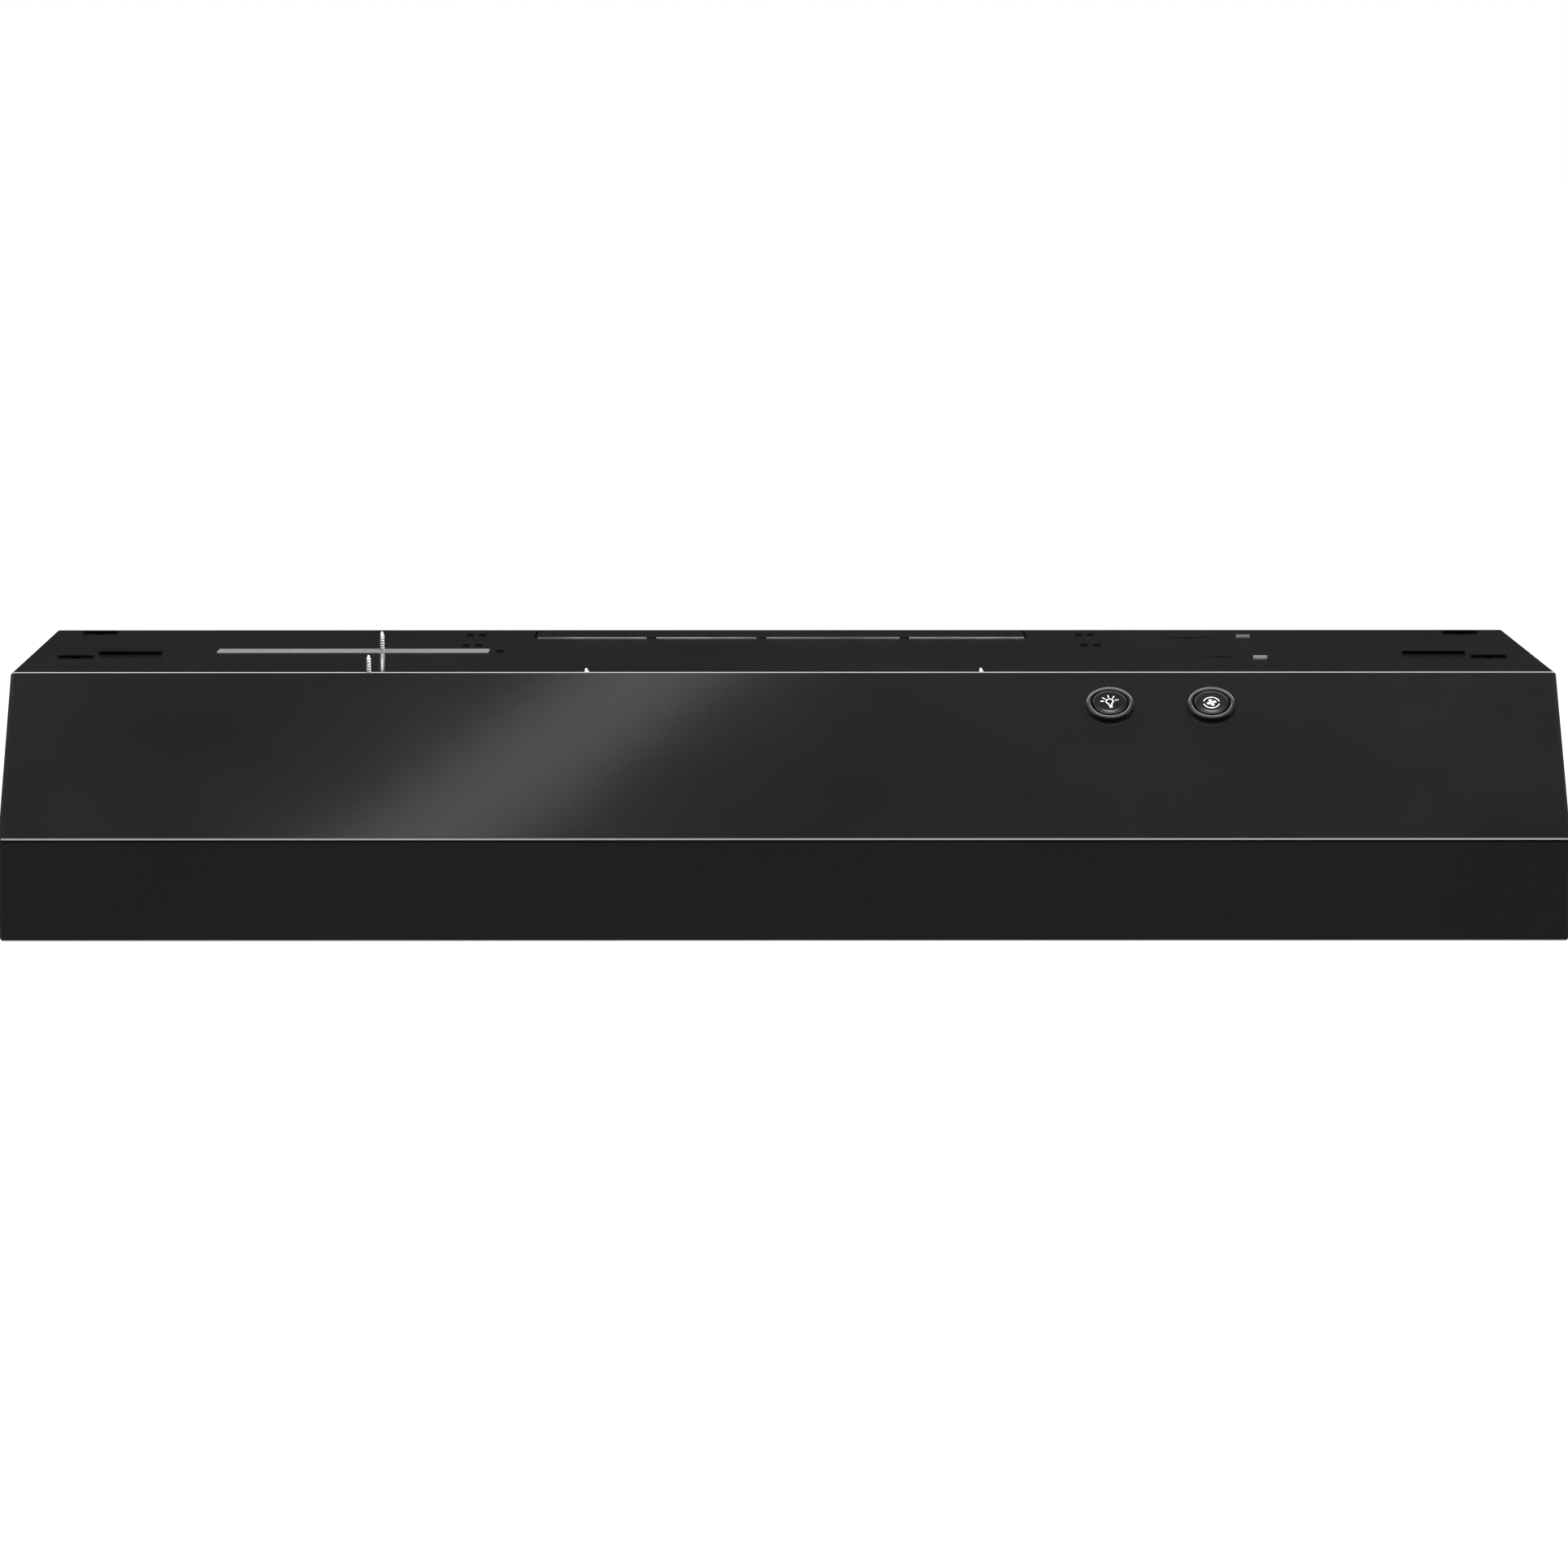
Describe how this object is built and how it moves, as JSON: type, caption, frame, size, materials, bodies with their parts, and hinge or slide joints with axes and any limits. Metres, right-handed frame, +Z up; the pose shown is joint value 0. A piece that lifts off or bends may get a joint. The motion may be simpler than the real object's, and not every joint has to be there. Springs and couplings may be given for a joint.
{
  "type": "under cabinet range hood",
  "caption": "Low black sheet-steel range hood that fixes under a wall cabinet, with push buttons on a sloping front, hinged mesh grease filters, a lamp and an axial fan.",
  "frame": {"origin": "middle of the line where the wall plane meets the cabinet's underside", "axes": "+X along the hood to the viewer's right, -Y out of the wall to the front, +Z up"},
  "size_m": [0.759, 0.4448, 0.1345],
  "materials": {
    "black_enamel": "smooth semi-gloss black baked enamel",
    "interior_black": "satin black paint",
    "galvanised": "galvanised sheet, faint spangle",
    "zinc_screws": "bright zinc plate",
    "black_rivets": "black painted rivets",
    "bezel_plastic": "gloss black moulding",
    "button_plastic": "satin black cap with printed symbol",
    "switch_plastic": "matt black moulding",
    "motor_steel": "grey painted pressed steel",
    "lamination": "stacked lamination edges",
    "copper_wire": "enamelled copper wire",
    "bronze": "sintered bronze",
    "fan_blade": "pressed aluminium",
    "shaft_steel": "ground steel",
    "capacitor_case": "light grey plastic",
    "reflector_white": "white gloss paint",
    "socket_ceramic": "glazed porcelain look",
    "bulb_cap": "rolled thread",
    "bulb_glass": "frosted",
    "lens_plastic": "prismatic translucent white",
    "filter_frame": "mill finish",
    "filter_mesh": "expanded mesh layers",
    "lead_insulation": "black insulated lead"
  },
  "bodies": {
    "canopy": {"canopy_wrapper": "black_enamel", "left_end_panel": "black_enamel", "right_end_panel": "black_enamel", "back_panel": "black_enamel", "end_rivets": "black_rivets", "back_screws": "zinc_screws", "air_box": "galvanised", "air_box_screw": "zinc_screws", "inlet_ring": "galvanised", "motor_bracket": "galvanised", "bracket_screws": "zinc_screws", "motor_lower_bell": "motor_steel", "motor_upper_bell": "motor_steel", "motor_stator": "lamination", "motor_windings": "copper_wire", "motor_bearings": "bronze", "motor_bolts": "zinc_screws", "run_capacitor": "capacitor_case", "wiring_box": "galvanised", "wiring_cover": "galvanised", "wiring_cover_screw": "zinc_screws", "front_pan": "interior_black", "lamp_reflector": "reflector_white", "lamp_screws": "zinc_screws", "lamp_socket": "socket_ceramic", "bulb_base": "bulb_cap", "bulb_glass": "bulb_glass", "lens_hinge_pins": "zinc_screws", "rear_filter_rail": "interior_black", "centre_filter_rail": "interior_black", "cable_clip": "galvanised", "cable_clip_screw": "zinc_screws", "fan_lead": "lead_insulation", "fan_switch_lead": "lead_insulation", "lamp_lead": "lead_insulation", "light_bezel": "bezel_plastic", "light_switch_body": "switch_plastic", "fan_bezel": "bezel_plastic", "fan_switch_body": "switch_plastic", "left_side_ledge": "interior_black", "right_side_ledge": "interior_black"},
    "light_button": {"light_button": "button_plastic"},
    "fan_button": {"fan_button": "button_plastic"},
    "fan": {"fan_impeller": "fan_blade", "fan_nut": "zinc_screws", "motor_shaft": "shaft_steel", "motor_rotor": "lamination"},
    "lens": {"light_lens": "lens_plastic"},
    "left_filter": {"left_filter_frame": "filter_frame", "left_filter_mesh": "filter_mesh", "left_pull_clip": "filter_frame"},
    "left_pull": {"left_pull_ring": "zinc_screws"},
    "right_filter": {"right_filter_frame": "filter_frame", "right_filter_mesh": "filter_mesh", "right_pull_clip": "filter_frame"},
    "right_pull": {"right_pull_ring": "zinc_screws"}
  },
  "joints": [
    {"name": "light_button_press", "type": "slide", "parent": "canopy", "child": "light_button", "axis": [0, 0.6117, -0.7911], "range_m": [0, 0.003], "stiffness_N_per_m": 400, "springref_m": -0.001},
    {"name": "fan_button_press", "type": "slide", "parent": "canopy", "child": "fan_button", "axis": [0, 0.6117, -0.7911], "range_m": [0, 0.003], "stiffness_N_per_m": 400, "springref_m": -0.001},
    {"name": "fan_spin", "type": "hinge", "parent": "canopy", "child": "fan", "pos_m": [0, -0.165, -0.07], "axis": [0, 0, 1], "continuous": true},
    {"name": "lens_hinge", "type": "hinge", "parent": "canopy", "child": "lens", "pos_m": [0, -0.333, -0.1212], "axis": [1, 0, 0], "range_deg": [0, 80]},
    {"name": "left_filter_hinge", "type": "hinge", "parent": "canopy", "child": "left_filter", "pos_m": [-0.1845, -0.026, -0.1085], "axis": [1, 0, 0], "range_deg": [0, 65]},
    {"name": "left_pull_swing", "type": "hinge", "parent": "left_filter", "child": "left_pull", "pos_m": [-0.1845, -0.303, -0.1152], "axis": [1, 0, 0], "range_deg": [-75, 75]},
    {"name": "right_filter_hinge", "type": "hinge", "parent": "canopy", "child": "right_filter", "pos_m": [0.1845, -0.026, -0.1085], "axis": [1, 0, 0], "range_deg": [0, 65]},
    {"name": "right_pull_swing", "type": "hinge", "parent": "right_filter", "child": "right_pull", "pos_m": [0.1845, -0.303, -0.1152], "axis": [1, 0, 0], "range_deg": [-75, 75]}
  ]
}
